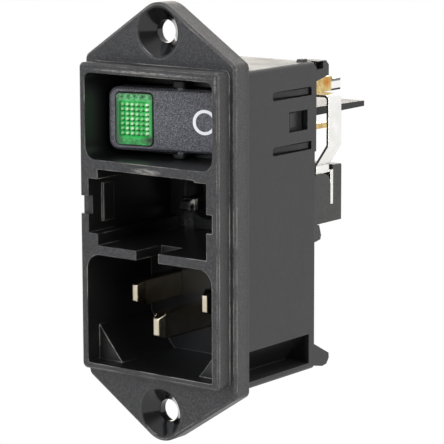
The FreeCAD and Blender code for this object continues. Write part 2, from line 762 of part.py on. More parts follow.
# Contact levers
# Bent brass rockers that tip on the middle terminals; each carries a silver contact on its right arm.
lever_rear = "(lever_front + lever_thickness)"
for pole, sign in (("upper", "+"), ("lower", "-")):
    level = f"(switch_level {sign} pole_offset)"
    rise = "tan(lever_bend)"
    strip = prism(f"strip_{pole}", "xy", [
        ("-lever_free_arm", f"lever_front - lever_free_arm * {rise}"),
        ("0", "lever_front"),
        ("lever_contact_arm", f"lever_front - lever_contact_arm * {rise}"),
        ("lever_contact_arm", f"{lever_rear} - lever_contact_arm * {rise}"),
        ("0", lever_rear),
        ("-lever_free_arm", f"{lever_rear} - lever_free_arm * {rise}"),
    ], f"{level} - lever_width / 2", f"{level} + lever_width / 2")
    button = rod(f"button_{pole}", "y", ("contact_arm", level), "contact_radius",
                 f"{lever_rear} - contact_arm * {rise} - 0.3",
                 f"{lever_rear} - contact_arm * {rise} + contact_height")
    lever = join(f"lever_{pole}_shape", strip, button)
    lever.Placement = FreeCAD.Placement(FreeCAD.Vector(), FreeCAD.Rotation(FreeCAD.Vector(0, 0, 1), -1))
    bind(lever, ".Placement.Rotation.Angle", "-lever_tilt")
    bind(lever, ".Placement.Base.x", f"-{lever_rear} * sin(lever_tilt)")
    bind(lever, ".Placement.Base.y", f"{lever_rear} * (1 - cos(lever_tilt))")
    piece(f"contact_lever_{pole}", lever)

# Switch terminals
# Brass blades with tinned tips. The middle pair carries the levers; the right pair is bent
# inside the switch and carries the fixed contacts. The upper blades stand, the lower ones lie.
closed_rise = "tan(lever_bend - lever_tilt)"
fixed_front = f"({lever_rear} - contact_arm * {closed_rise} + contact_height + contact_gap)"
fixed_standing = "(fixed_blade_face - blade_thickness / 2)"
fixed_lying = "(fixed_blade_face - blade_width / 2)"
blade_slots = []


def blade_slot(name, x, z):
    blade_slots.append(block(f"{name}_slot", x, ("pocket_floor - 1.1", "body_depth + 2"), z))


def standing_blade(name, middle, front):
    """A blade in the plane of Y and Z, wider up to its shoulder, with a bevelled tip."""
    low = "upper_blade_level - blade_width / 2"
    high = "upper_blade_level + blade_width / 2"
    body = prism(name, "yz", [
        (front, low),
        ("blade_end", low),
        ("blade_end", high),
        ("shoulder_end + blade_step", high),
        ("shoulder_end", f"{high} + blade_step"),
        (front, f"{high} + blade_step"),
    ], f"{middle} - blade_thickness / 2", f"{middle} + blade_thickness / 2")
    bevel_end(body, f"{name}_bevel", "y", 1, "blade_thickness * 0.3")
    blade_slot(name, (f"{middle} - blade_thickness / 2", f"{middle} + blade_thickness / 2"),
               (low, f"{high} + blade_step"))
    return body


def lying_blade(name, middle, front):
    """A blade in the plane of X and Y with a bevelled tip."""
    low = "lower_blade_level - blade_thickness / 2"
    high = "lower_blade_level + blade_thickness / 2"
    body = prism(name, "xy", [
        (f"{middle} - blade_width / 2", front),
        (f"{middle} + blade_width / 2", front),
        (f"{middle} + blade_width / 2", "shoulder_end"),
        (f"{middle} - blade_width / 2", "shoulder_end"),
    ], low, high)
    bevel_end(body, f"{name}_bevel", "y", 1, "blade_thickness * 0.3")
    blade_slot(name, (f"{middle} - blade_width / 2", f"{middle} + blade_width / 2"), (low, high))
    return body


for pole, sign, blade, fixed_middle in (("upper", "+", standing_blade, fixed_standing),
                                        ("lower", "-", lying_blade, fixed_lying)):
    level = f"(switch_level {sign} pole_offset)"
    piece(f"fulcrum_terminal_{pole}", blade(f"fulcrum_{pole}", "0", f"{lever_rear} + contact_gap"))
    fixed = blade(f"fixed_{pole}", fixed_middle, "pocket_floor - blade_thickness")
    foot = block(f"fixed_foot_{pole}", ("contact_arm - contact_radius - 0.2", "fixed_blade_face"),
                 ("pocket_floor - blade_thickness", "pocket_floor"),
                 (f"{level} - foot_height / 2", f"{level} + foot_height / 2"))
    stud = rod(f"fixed_stud_{pole}", "y", ("contact_arm", level), "contact_radius", fixed_front,
               "pocket_floor - blade_thickness + 0.1")
    piece(f"fixed_terminal_{pole}", join(f"fixed_{pole}_shape", fixed, foot, stud))

# Switch base
# Black moulded box behind the rocker: bezel with the two ears that hold the rocker's trunnions,
# contact chambers, snap barbs and guide ribs at its sides, and the long barrier plate between
# the two poles.
base_half = f"({half_chamber} - fit_gap)"
bezel = prism("bezel", "xz", rectangle((f"-{base_half}", base_half),
                                       ("switch_floor + fit_gap", "switch_roof - fit_gap")),
              "bezel_front", "bezel_front + bezel_thickness",
              {0: "switch_corner_low", 1: "switch_corner_low", 2: "switch_corner_high",
               3: "switch_corner_high"})
base_rear = upper_rear
base_box = block("base_box", (f"-{base_half}", base_half), ("bezel_front + bezel_thickness / 2", base_rear),
                 (base_low, base_high))
chamber_z = (f"{rocker_low} - mouth_gap", f"{rocker_high} + mouth_gap")
mouth = block("mouth", (f"-{base_half} - 1", f"{base_half} + 1"),
              ("bezel_front - 1", "pivot_depth + 4.35"), chamber_z)
front_chamber = block("front_chamber", (f"-{base_half} + base_wall", f"{base_half} - base_wall"),
                      ("bezel_front - 1", "pivot_depth + 5.4"), chamber_z)
rear_chamber = block("rear_chamber", (f"-{base_half} + base_wall", "fixed_blade_face + base_wall"),
                     ("pivot_depth + 4", "pocket_floor"), chamber_z)
base_hollow = cut("base_hollow", join("base_outer", bezel, base_box), mouth, front_chamber, rear_chamber)
ears = []
for side, low, high in (("upper", f"{rocker_high} + mouth_gap", f"{rocker_high} + mouth_gap + 1"),
                        ("lower", "switch_floor + fit_gap", f"{rocker_low} - mouth_gap")):
    ears.append(prism(f"pivot_ear_{side}", "xy", [
        ("-ear_half", "bezel_front + 0.2"),
        ("-ear_half", "pivot_depth - ear_front"),
        ("ear_half", "pivot_depth - ear_front"),
        ("ear_half", "bezel_front + 0.2"),
    ], low, high, {1: "ear_half * 0.6", 2: "ear_half * 0.6"}))
divider = block("divider", ("-lever_free_arm - 1.3", "fixed_blade_face + base_wall + 0.1"),
                ("lever_front - 1.5", "pocket_floor + 0.5"), ("switch_level - 0.5", "switch_level + 0.5"))
pin_bore = rod("pin_bore", "z", ("0", "pivot_depth"), "pin_radius + running_gap",
               "switch_floor", f"{rocker_high} + trunnion_length + 0.1")
reliefs = both_sides("prong_relief", block(
    "prong_relief", (f"{half_body} - prong_width - fit_gap", half_body),
    (f"{rear} - wall - fit_gap", f"{base_rear} + 1"),
    ("body_top - prong_heel - wall - fit_gap", f"{base_high} + 1")))
barrier = prism("barrier", "yz", [
    (f"{base_rear} - 1", "switch_level - barrier_root / 2"),
    ("barrier_end", "switch_level - barrier_drop - barrier_tip / 2"),
    ("barrier_end", "switch_level - barrier_drop + barrier_tip / 2"),
    (f"{base_rear} - 1", "switch_level + barrier_root / 2"),
], "-barrier_half", "barrier_half")
barb = both_sides("barb", prism("barb", "xy", [
    (f"{base_half} - 0.5", "snap_front + barb_gap"),
    (f"{half_body} - 0.1", "snap_front + barb_gap"),
    (f"{base_half}", "snap_rear - barb_gap"),
    (f"{base_half} - 0.5", "snap_rear - barb_gap"),
], "snap_low + barb_gap * 2", "snap_high - barb_gap / 2"))
guide_ribs = []
for end, sign in (("high", "+"), ("low", "-")):
    middle = f"(switch_level - guide_drop {sign} guide_offset)"
    guide_ribs += both_sides(f"guide_rib_{end}", prism(f"guide_rib_{end}", "xy", [
        (f"{base_half} - 0.5", "guide_front + 1.2"),
        (f"{base_half}", "guide_front + 1.2"),
        (f"{half_body} - 0.35", "guide_rear - 3.2"),
        (f"{half_body} - 0.35", "guide_rear - 0.4"),
        (f"{base_half} - 0.5", "guide_rear - 0.4"),
    ], f"{middle} - guide_width / 2 + fit_gap", f"{middle} + guide_width / 2 - fit_gap"))
base_full = join("base_full", base_hollow, *ears, divider, barrier, *barb, *guide_ribs)
piece("switch_base", cut("base_shape", base_full, pin_bore, *reliefs, *blade_slots))

# Fuse block
# Black insert behind the drawer opening: two round pockets for the fuses in front, and behind
# the housing a chamber for the contact straps with a tall shield plate.
front_x = (f"-{half_chamber} + fit_gap", f"{half_chamber} - fit_gap")
block_front = block("block_front", front_x, ("fuse_cavity_depth", rear),
                    ("-fuse_floor + block_clear", "fuse_roof - block_clear"))
chamber_front = f"{rear} - 1"
block_chamber = prism("block_chamber", "yz", rectangle((chamber_front, "block_rear"),
                                                       ("-chamber_bottom", "block_top")),
                      "-block_half", "block_half", {1: "chamber_corner", 2: "block_corner"})
plate_front = "(block_rear + slot_width)"
plate_rear = f"({plate_front} + shield_thickness)"
shield = prism("shield", "yz", [
    (chamber_front, "-block_bottom"),
    (plate_rear, "-block_bottom"),
    (plate_rear, "shield_top"),
    (plate_front, "shield_top"),
    (plate_front, "slot_bottom"),
    (chamber_front, "slot_bottom"),
], "-block_half + plate_recess", "block_half - plate_recess", {2: "edge_round", 3: "edge_round"})
latches = both_sides("latch_nose", prism("latch_nose", "yz", [
    (f"{rear} + 0.04", "-block_bottom - 2.05"),
    (f"{rear} + 1.1", "-block_bottom - 2.05"),
    (f"{rear} + 2.3", "-block_bottom - 1.8"),
    (f"{rear} + 2.5", "-block_bottom - 1.15"),
    (f"{rear} + 1.95", "-block_bottom + 0.55"),
    (f"{rear} + 0.04", "-block_bottom + 0.9"),
], "block_half - 0.5", "latch_reach"))
fuse_tubes = []
for side, middle in (("line", "tube_offset"), ("neutral", "-tube_offset")):
    fuse_tubes.append(rod(f"fuse_tube_{side}", "y", (middle, "tube_level"), "tube_radius",
                          "fuse_cavity_depth - 1", "fuse_cavity_depth + tube_depth"))
    fuse_tubes.append(taper(f"tube_lead_{side}", "y", (middle, "tube_level"), "tube_radius + tube_lead",
                            "tube_radius", "fuse_cavity_depth", "fuse_cavity_depth + tube_lead"))
stem_y = ("fuse_cavity_depth + tube_depth - 0.5", "strap_front + 1.9")
strip_z = ("tube_level - contact_height_z / 2", "tube_level + contact_height_z / 2")


def contact_outline(gap):
    """Stem behind the fuse and arm out to the strap's tail, grown by a gap."""
    stem = block("stem", (f"tube_offset - contact_strip / 2 - {gap}",
                          f"tube_offset + contact_strip / 2 + {gap}"),
                 (stem_y[0], f"{stem_y[1]} + {gap}"), (f"{strip_z[0]} - {gap}", f"{strip_z[1]} + {gap}"))
    arm = block("arm", (f"tube_offset - contact_strip / 2 - {gap}", "strap_in - strap"),
                (f"{stem_y[1]} - contact_strip - {gap}", f"{stem_y[1]} + {gap}"),
                (f"{strip_z[0]} - {gap}", f"{strip_z[1]} + {gap}"))
    return [stem, arm]


tail_pocket = block("tail_pocket", ("strap_in - strap - block_clear", "strap_in + block_clear"),
                    ("strap_front - block_clear", "strap_front + tail_width + block_clear"),
                    ("tail_end - block_clear", "block_top + 1"))
contact_pocket = join("contact_pocket", *contact_outline("block_clear"), tail_pocket)
link_pocket = block("link_pocket",
                    ("link_x - link_width / 2 - block_clear", "link_x + link_width / 2 + block_clear"),
                    ("fuse_cavity_depth - 1", rear), ("-fuse_floor - 1", "finger_level + 0.3"))
fuse_block = cut("fuse_block_shape", join("fuse_block_outer", block_front, block_chamber, shield, *latches),
                 *fuse_tubes,
                 *both_sides("contact_pocket", contact_pocket), *both_sides("link_pocket", link_pocket))
piece("fuse_block", fuse_block)

# Fuse contacts
# A tinned disc at the bottom of each round pocket, with a stem back to the strap.
disc = rod("disc", "y", ("tube_offset", "tube_level"), "tube_radius - 1.2",
           "fuse_cavity_depth + tube_depth - 0.4", "fuse_cavity_depth + tube_depth")
line_contact = join("line_contact", disc, *contact_outline("0"))
piece("fuse_contact_line", line_contact)
piece("fuse_contact_neutral", mirror("neutral_contact", line_contact))

# Straps
# Bent tinned strips that carry the fused current up to the switch terminals.
strap_back = "strap_front + strap_width"
strap_level = "(upper_blade_level - blade_width / 2)"
line_path = prism("line_path", "xz", [
    (f"{fixed_standing} - blade_thickness / 2", f"{strap_level} - strap"),
    ("strap_out - strap", f"{strap_level} - strap"),
    ("strap_out - strap", "kink_high + strap * 0.4"),
    ("strap_in - strap", "kink_low + strap * 0.4"),
    ("strap_in - strap", "block_top"),
    ("strap_in", "block_top"),
    ("strap_in", "kink_low"),
    ("strap_out", "kink_high"),
    ("strap_out", strap_level),
    (f"{fixed_standing} - blade_thickness / 2", strap_level),
], "strap_front", strap_back, {8: "strap * 2", 1: "strap"})
line_tail = block("line_tail", ("strap_in - strap", "strap_in"),
                  ("strap_front", "strap_front + tail_width"), ("tail_end", "block_top"))
tongue = block("tongue", ("strap_in - tongue_gap", "block_half - tongue_gap"),
               ("block_rear + tongue_gap", "block_rear + slot_width - tongue_gap"),
               ("slot_bottom + tongue_gap", "block_top + strap"))
piece("line_strap", join("line_strap_shape", line_path, line_tail, tongue))
neutral_level = "(lower_blade_level - blade_thickness / 2)"
neutral_path = prism("neutral_path", "xz", [
    ("blade_width / 2", neutral_level),
    ("-strap_in", neutral_level),
    ("-strap_in", "block_top"),
    ("-strap_in + strap", "block_top"),
    ("-strap_in + strap", f"{neutral_level} - strap"),
    ("blade_width / 2", f"{neutral_level} - strap"),
], "strap_front", strap_back, {1: "strap"})
neutral_tail = block("neutral_tail", ("-strap_in", "-strap_in + strap"),
                     ("strap_front", "strap_front + tail_width"), ("tail_end", "block_top"))
piece("neutral_strap", join("neutral_strap_shape", neutral_path, neutral_tail))

# Inlet pins
# Nickel-plated brass blades with tapered tips; the earth pin is longer and ends in a rear tab.


def pin(name, middle, level, tip, full, rear_end):
    """A blade of the inlet, tapered on all four sides from its full section to its tip."""
    blade = block(f"{name}_blade", (f"{middle} - pin_width / 2", f"{middle} + pin_width / 2"), (full, rear_end),
                  (f"{level} - pin_height / 2", f"{level} + pin_height / 2"))
    point = doc.addObject("Part::Wedge", f"{name}_point")
    for prop, text in (("Xmin", "-tip_width / 2"), ("Xmax", "tip_width / 2"),
                       ("Zmin", "-tip_height / 2"), ("Zmax", "tip_height / 2"),
                       ("X2min", "-pin_width / 2"), ("X2max", "pin_width / 2"),
                       ("Z2min", "-pin_height / 2"), ("Z2max", "pin_height / 2"),
                       ("Ymin", "0"), ("Ymax", f"({full}) - ({tip})")):
        bind(point, prop, text)
    place(point, middle, tip, level)
    return join(f"{name}_shape", blade, point)


for side, middle in (("line", "pin_pitch / 2"), ("neutral", "-pin_pitch / 2")):
    piece(f"{side}_pin", pin(f"{side}_pin", middle, "-live_level", "-live_tip", "live_full", "live_rear"))
earth_blade = pin("earth", "0", "-earth_level", "-earth_tip", "-earth_full", "inlet_floor + floor_thickness")
earth_tab = prism("earth_tab", "yz", rectangle(("inlet_floor + floor_thickness", "earth_tab_end"),
                                               ("-earth_level - earth_tab_width / 2",
                                                "-earth_level + earth_tab_width / 2")),
                  "-blade_thickness / 2", "blade_thickness / 2", {1: "tab_corner", 2: "tab_corner"})
tab_hole = rod("tab_hole", "x", ("earth_tab_end - tab_hole_inset", "-earth_level"), "tab_hole_radius",
               "-blade_thickness", "blade_thickness")
piece("earth_pin", join("earth_pin_shape", earth_blade, cut("earth_tab_cut", earth_tab, tab_hole)))

# Links
# Tinned straps from the rear ends of the live pins up into the fuse opening, where their
# forward fingers are the front contacts of the fuses.
link_y = ("live_rear", "live_rear + contact_strip")
link_riser = block("link_riser", ("link_x - link_width / 2", "link_x + link_width / 2"), link_y,
                   ("-live_level - pin_height / 2", "finger_level"))
link_foot = block("link_foot", ("pin_pitch / 2 - pin_width / 2", "link_x"), link_y,
                  ("-live_level - pin_height / 2", "-live_level + pin_height / 2"))
link_finger = prism("link_finger", "yz", [
    ("live_rear + contact_strip / 2", "finger_level"),
    ("live_rear + contact_strip / 2", "finger_level - 0.6"),
    ("fuse_cavity_depth - 0.2", "finger_level - 1.0"),
    ("fuse_cavity_depth - 0.7", "finger_level - 1.9"),
    ("fuse_cavity_depth - 1.1", "finger_level - 1.5"),
    ("fuse_cavity_depth - 0.6", "finger_level - 0.4"),
], "link_x - finger_half", "link_x + finger_half")
line_link = join("line_link_shape", link_riser, link_foot, link_finger)
piece("line_link", line_link)
piece("neutral_link", mirror("neutral_link_shape", line_link))

# Series resistor
# Axial resistor of the lamp, lying on the floor of the chamber beside the levers.
resistor_x = "(-lever_free_arm - resistor_offset)"
resistor_y = "(pocket_floor - resistor_radius)"
resistor = rod("resistor_body", "z", (resistor_x, resistor_y), "resistor_radius",
               "switch_level - resistor_length / 2", "switch_level + resistor_length / 2")
lead = rod("resistor_lead", "z", (resistor_x, resistor_y), "lead_radius",
           "switch_level - resistor_length / 2 - lead_length",
           "switch_level + resistor_length / 2 + lead_length")
piece("lamp_resistor", join("resistor_shape", resistor, lead))

doc.recompute()
faults = [item.Name for item in doc.Objects if "Invalid" in item.State or "Error" in item.State]
if faults:
    raise RuntimeError(f"failed objects: {faults}")
for item in pieces:
    if item.Shape.isNull() or not item.Shape.isValid():
        raise RuntimeError(f"bad shape: {item.Label}")

os.makedirs("parts", exist_ok=True)
for item in pieces:
    box = item.Shape.BoundBox
    print(f"{item.Label}: {len(item.Shape.Solids)} solid, {item.Shape.Volume:.1f} mm3,"
          f" x {box.XMin:.2f} {box.XMax:.2f} y {box.YMin:.2f} {box.YMax:.2f} z {box.ZMin:.2f} {box.ZMax:.2f}")
    item.Shape.exportStep(f"parts/{item.Label}.step")
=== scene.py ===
import math

import bpy
from mathutils import Matrix, Vector


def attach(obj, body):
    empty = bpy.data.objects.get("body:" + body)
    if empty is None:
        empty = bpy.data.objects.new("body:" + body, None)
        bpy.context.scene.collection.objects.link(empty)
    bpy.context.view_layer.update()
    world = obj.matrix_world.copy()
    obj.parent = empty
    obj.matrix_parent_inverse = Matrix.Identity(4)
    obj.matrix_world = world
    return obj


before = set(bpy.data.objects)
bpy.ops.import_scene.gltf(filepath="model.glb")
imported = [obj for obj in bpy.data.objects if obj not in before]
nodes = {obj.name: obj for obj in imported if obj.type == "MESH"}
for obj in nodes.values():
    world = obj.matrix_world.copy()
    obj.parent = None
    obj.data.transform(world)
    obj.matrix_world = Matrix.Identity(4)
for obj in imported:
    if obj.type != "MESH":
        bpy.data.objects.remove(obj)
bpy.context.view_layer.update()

scene = bpy.context.scene
scene.view_settings.view_transform = "Standard"

# Camera
# A long portrait lens stands to the right of the module and a little above it, so the front
# and the right side are seen almost without perspective.
MM = 0.001
azimuth = math.radians(37.327)
elevation = math.radians(9.983)
roll = math.radians(-0.158)
aim_point = Vector((9.61, 0, 1.022)) * MM
stand_off = 355.98 * MM
focal_length = 2315.1
picture_width = 444
sensor_width = 36
backwards = Vector((math.sin(azimuth) * math.cos(elevation), -math.cos(azimuth) * math.cos(elevation),
                    math.sin(elevation)))
level_right = Vector((math.cos(azimuth), math.sin(azimuth), 0))
level_up = backwards.cross(level_right)
camera_right = math.cos(roll) * level_right + math.sin(roll) * level_up
camera_up = -math.sin(roll) * level_right + math.cos(roll) * level_up
camera_data = bpy.data.cameras.new("camera")
camera_data.lens = sensor_width * focal_length / picture_width
camera_data.sensor_width = sensor_width
camera_data.clip_start = 10 * MM
camera = bpy.data.objects.new("camera", camera_data)
camera.matrix_world = Matrix.Translation(aim_point + backwards * stand_off) @ Matrix(
    (camera_right, camera_up, backwards)).transposed().to_4x4()
scene.collection.objects.link(camera)
scene.camera = camera


# Floor and backdrop
# A seamless sheet of white paper well below the module, which hangs by its flange, in a white
# room. The camera and shiny surfaces see the paper pure white, and it keeps only a faint shadow.
def linear(code):
    """Linear colour of an sRGB hex value."""
    channels = [int(code[i:i + 2], 16) / 255 for i in (1, 3, 5)]
    return [c / 12.92 if c <= 0.04045 else ((c + 0.055) / 1.055) ** 2.4 for c in channels] + [1.0]


def blank_material(name):
    """An empty material; returns it with its node tree."""
    material = bpy.data.materials.new(name)
    material.use_nodes = True
    material.node_tree.nodes.clear()
    return material, material.node_tree


def add(tree, kind, sockets=None, **settings):
    """One node with its settings; each socket takes a value or a link from another node."""
    node = tree.nodes.new(kind)
    for name, value in settings.items():
        setattr(node, name, value)
    for socket, value in (sockets or {}).items():
        if isinstance(value, bpy.types.NodeSocket):
            tree.links.new(value, node.inputs[socket])
        else:
            node.inputs[socket].default_value = value
    return node


paper_size = 3
paper_level = -75 * MM
bpy.ops.object.select_all(action="DESELECT")
bpy.ops.mesh.primitive_plane_add(size=paper_size, location=(0, 0, paper_level))
floor = bpy.context.object
floor.name = "paper_floor"
paper, tree = blank_material("white_paper")
light_path = add(tree, "ShaderNodeLightPath")
seen = add(tree, "ShaderNodeMath", {0: light_path.outputs["Is Camera Ray"],
                                    1: light_path.outputs["Is Glossy Ray"]}, operation="MAXIMUM")
diffuse = add(tree, "ShaderNodeBsdfDiffuse", {"Color": linear("#e8e8e8")})
white = add(tree, "ShaderNodeEmission", {"Color": linear("#ffffff"), "Strength": 1.0})
mixed = add(tree, "ShaderNodeMixShader", {0: seen.outputs[0], 1: diffuse.outputs[0], 2: white.outputs[0]})
add(tree, "ShaderNodeOutputMaterial", {"Surface": mixed.outputs[0]})
floor.data.materials.append(paper)

# The room is a little darker towards the front, and dark where the photographer stands.
front_level = 0.8
photographer_level = 0.2
world = bpy.data.worlds.new("studio")
scene.world = world
world.use_nodes = True
tree = world.node_tree
tree.nodes.clear()
light_path = add(tree, "ShaderNodeLightPath")
clear = add(tree, "ShaderNodeMath", {0: light_path.outputs["Is Camera Ray"],
                                     1: light_path.outputs["Is Transmission Ray"]}, operation="MAXIMUM")
direction = add(tree, "ShaderNodeTexCoord").outputs["Generated"]
depth = add(tree, "ShaderNodeSeparateXYZ", {0: direction}).outputs["Y"]
level = add(tree, "ShaderNodeMapRange", {"Value": depth, "From Min": -1.0, "From Max": 0.6,
                                         "To Min": front_level, "To Max": 1.0})
towards = add(tree, "ShaderNodeVectorMath", {0: direction, 1: backwards}, operation="DOT_PRODUCT")
unlit = add(tree, "ShaderNodeMapRange", {"Value": towards.outputs["Value"], "From Min": 0.72,
                                         "From Max": 0.97, "To Min": 1.0, "To Max": photographer_level})
strength = add(tree, "ShaderNodeMath", {0: level.outputs[0], 1: unlit.outputs[0]}, operation="MULTIPLY")
room = add(tree, "ShaderNodeBackground", {"Color": linear("#ffffff"), "Strength": strength.outputs[0]})
white = add(tree, "ShaderNodeBackground", {"Color": linear("#ffffff"), "Strength": 1.0})
backdrop = add(tree, "ShaderNodeMixShader", {0: clear.outputs[0], 1: room.outputs[0], 2: white.outputs[0]})
add(tree, "ShaderNodeOutputWorld", {"Surface": backdrop.outputs[0]})


# Studio lights
# A broad softbox overhead and one on the right, a fill high in front and a weak light from
# behind on the left, which shows in the top faces. Sizes are in metres and powers in watts.
def softbox(name, place, width, height, power, tint, target=(0, 0.01, 0)):
    """A rectangular lamp that faces the module."""
    data = bpy.data.lights.new(name, "AREA")
    data.shape = "RECTANGLE"
    data.size = width
    data.size_y = height
    data.energy = power
    data.color = linear(tint)[:3]
    lamp = bpy.data.objects.new(name, data)
    lamp.location = place
    lamp.rotation_euler = (Vector(target) - Vector(place)).to_track_quat("-Z", "Y").to_euler()
    scene.collection.objects.link(lamp)


softbox("softbox_top", (0.05, 0.1, 0.55), 0.5, 0.4, 3, "#fffaf2")
softbox("softbox_back", (-0.4, 0.65, 0.16), 0.8, 0.3, 2.6, "#fff8ec")
softbox("softbox_right", (0.55, -0.05, 0.12), 0.4, 0.4, 3.3, "#fffdfa")
softbox("softbox_front", (-0.12, -0.55, 0.3), 0.35, 0.35, 2.4, "#f2f6ff", target=(0, 0, 0))


# Housing
# One injection moulding of black glass-filled nylon. The mould is spark-eroded outside, so the front is matt
# with pale specks of fibre, and smooth inside on its cores, where the specks are left out so that the
# compartments are painted darker as shade. The front edges are rubbed lighter, the web and the rim are
# scuffed, and the core pins left the countersinks polished.
def near(tree, place, middle, reach, fade=0.5):
    """1 in the middle of an ellipsoid of the object, 0 outside it."""
    offset = add(tree, "ShaderNodeVectorMath", {0: place, 1: Vector(middle) * MM}, operation="SUBTRACT")
    scaled = add(tree, "ShaderNodeVectorMath", {0: offset.outputs[0],
                                                1: [1 / (length * MM) for length in reach]},
                 operation="MULTIPLY")
    distance = add(tree, "ShaderNodeVectorMath", {0: scaled.outputs[0]}, operation="LENGTH")
    return add(tree, "ShaderNodeMapRange", {"Value": distance.outputs["Value"], "From Min": 1.0,
                                            "From Max": 1.0 - fade}).outputs[0]


def in_shaded_compartments(tree, place, half_width, half_height, front, blend=0.1):
    """1 inside a box round the housing's compartments, 0 outside it; it marks where their shade is painted.
    """
    sides = add(tree, "ShaderNodeVectorMath", {0: place}, operation="ABSOLUTE")
    away = add(tree, "ShaderNodeSeparateXYZ", {0: sides.outputs[0]})
    depth = add(tree, "ShaderNodeSeparateXYZ", {0: place}).outputs["Y"]
    inside = 1.0
    for position, outer, inner in ((away.outputs["X"], half_width, half_width - blend),
                                   (away.outputs["Z"], half_height, half_height - blend),
                                   (depth, front, front + blend)):
        within = add(tree, "ShaderNodeMapRange", {"Value": position, "From Min": outer * MM,
                                                  "From Max": inner * MM})
        inside = add(tree, "ShaderNodeMath", {0: within.outputs[0], 1: inside},
                     operation="MULTIPLY").outputs[0]
    return inside


def moulded(name, base, speck, edge, grain, grain_depth, roughness, scuffs=(), polished=(), ior=1.53,
            smooth_rear=1.0, compartments=None):
    """Matt moulded plastic; grain is the width of the mould's texture in millimetres."""
    material, tree = blank_material(name)
    place = add(tree, "ShaderNodeTexCoord").outputs["Object"]
    depth = add(tree, "ShaderNodeSeparateXYZ", {0: place}).outputs["Y"]
    fine = add(tree, "ShaderNodeTexNoise", {"Vector": place, "Scale": 1 / (grain * MM), "Detail": 3.0,
                                            "Roughness": 0.7}).outputs["Fac"]
    cloud = add(tree, "ShaderNodeTexNoise", {"Vector": place, "Scale": 1 / (5 * MM), "Detail": 8.0,
                                             "Roughness": 0.65}).outputs["Fac"]

    # Where the mould is smooth, there is no grain and the plastic is glossier.
    coarse = add(tree, "ShaderNodeMapRange", {"Value": depth, "From Min": 0.5 * MM, "From Max": -1.5 * MM,
                                              "To Min": smooth_rear, "To Max": 1.0}).outputs[0]
    gloss = add(tree, "ShaderNodeMapRange", {"Value": cloud, "From Min": 0.3, "From Max": 0.7,
                                             "To Min": roughness - 0.06, "To Max": roughness + 0.06})
    # Inside the compartments the pale specks are left out, which paints their walls darker as shade, and the
    # plastic is glossier there.
    if compartments:
        inside = in_shaded_compartments(tree, place, *compartments)
        outside = add(tree, "ShaderNodeMath", {0: 1.0, 1: inside}, operation="SUBTRACT")
        coarse = add(tree, "ShaderNodeMath", {0: coarse, 1: outside.outputs[0]},
                     operation="MULTIPLY").outputs[0]
        gloss = add(tree, "ShaderNodeMix", {"Factor": inside, "A": gloss.outputs[0], "B": 0.37})
    specks = add(tree, "ShaderNodeMapRange", {"Value": fine, "From Min": 0.42, "From Max": 0.72})
    visible = add(tree, "ShaderNodeMath", {0: specks.outputs[0], 1: coarse}, operation="MULTIPLY")
    grains = add(tree, "ShaderNodeMath", {0: fine, 1: coarse}, operation="MULTIPLY").outputs[0]
    colour = add(tree, "ShaderNodeMix", {"Factor": visible.outputs[0], "A": linear(base), "B": linear(speck)},
                 data_type="RGBA")

    # Edges at the front are rubbed lighter, in broken stretches.
    rounded = add(tree, "ShaderNodeBevel", {"Radius": 0.28 * MM}, samples=6)
    true_normal = add(tree, "ShaderNodeNewGeometry").outputs["Normal"]
    meeting = add(tree, "ShaderNodeVectorMath", {0: rounded.outputs[0], 1: true_normal},
                  operation="DOT_PRODUCT")
    rim = add(tree, "ShaderNodeMapRange", {"Value": meeting.outputs["Value"], "From Min": 0.99,
                                           "From Max": 0.85})
    broken = add(tree, "ShaderNodeMapRange", {"Value": cloud, "From Min": 0.42, "From Max": 0.6})
    handled = add(tree, "ShaderNodeMapRange", {"Value": depth, "From Min": 0.5 * MM, "From Max": -3.4 * MM})
    touched = add(tree, "ShaderNodeMath", {0: handled.outputs[0], 1: broken.outputs[0]}, operation="MULTIPLY")
    rubbed = add(tree, "ShaderNodeMath", {0: rim.outputs[0], 1: touched.outputs[0]},
                 operation="MULTIPLY").outputs[0]
    if scuffs:
        stretched = add(tree, "ShaderNodeMapping", {"Vector": place, "Scale": (0.25, 1, 1)})
        scratch = add(tree, "ShaderNodeTexNoise", {"Vector": stretched.outputs[0], "Scale": 1 / (0.3 * MM),
                                                   "Detail": 4.0, "Roughness": 0.7})
        torn = add(tree, "ShaderNodeMapRange", {"Value": scratch.outputs["Fac"], "From Min": 0.38,
                                                "From Max": 0.75})
    for middle, reach in scuffs:
        spot = add(tree, "ShaderNodeMath", {0: near(tree, place, middle, reach), 1: torn.outputs[0]},
                   operation="MULTIPLY")
        rubbed = add(tree, "ShaderNodeMath", {0: rubbed, 1: spot.outputs[0]}, operation="MAXIMUM").outputs[0]
    colour = add(tree, "ShaderNodeMix", {"Factor": rubbed, "A": colour.outputs["Result"], "B": linear(edge)},
                 data_type="RGBA")

    for middle, reach in polished:
        smooth = near(tree, place, middle, reach, 0.03)
        colour = add(tree, "ShaderNodeMix", {"Factor": smooth, "A": colour.outputs["Result"],
                                             "B": linear("#0c0c0d")}, data_type="RGBA")
        rough = add(tree, "ShaderNodeMath", {0: 1.0, 1: smooth}, operation="SUBTRACT")
        grains = add(tree, "ShaderNodeMath", {0: grains, 1: rough.outputs[0]},
                     operation="MULTIPLY").outputs[0]
        gloss = add(tree, "ShaderNodeMix", {"Factor": smooth, "A": gloss.outputs[0], "B": 0.13})
    relief = add(tree, "ShaderNodeBump", {"Height": grains, "Normal": rounded.outputs[0], "Strength": 0.8,
                                          "Distance": grain_depth * MM})
    shader = add(tree, "ShaderNodeBsdfPrincipled", {"Base Color": colour.outputs["Result"], "IOR": ior,
                                                    "Roughness": gloss.outputs[0],
                                                    "Normal": relief.outputs[0]})
    add(tree, "ShaderNodeOutputMaterial", {"Surface": shader.outputs[0]})
    return material


def finish(node, material):
    """Give a CAD node its material."""
    nodes[node].data.materials.clear()
    nodes[node].data.materials.append(material)


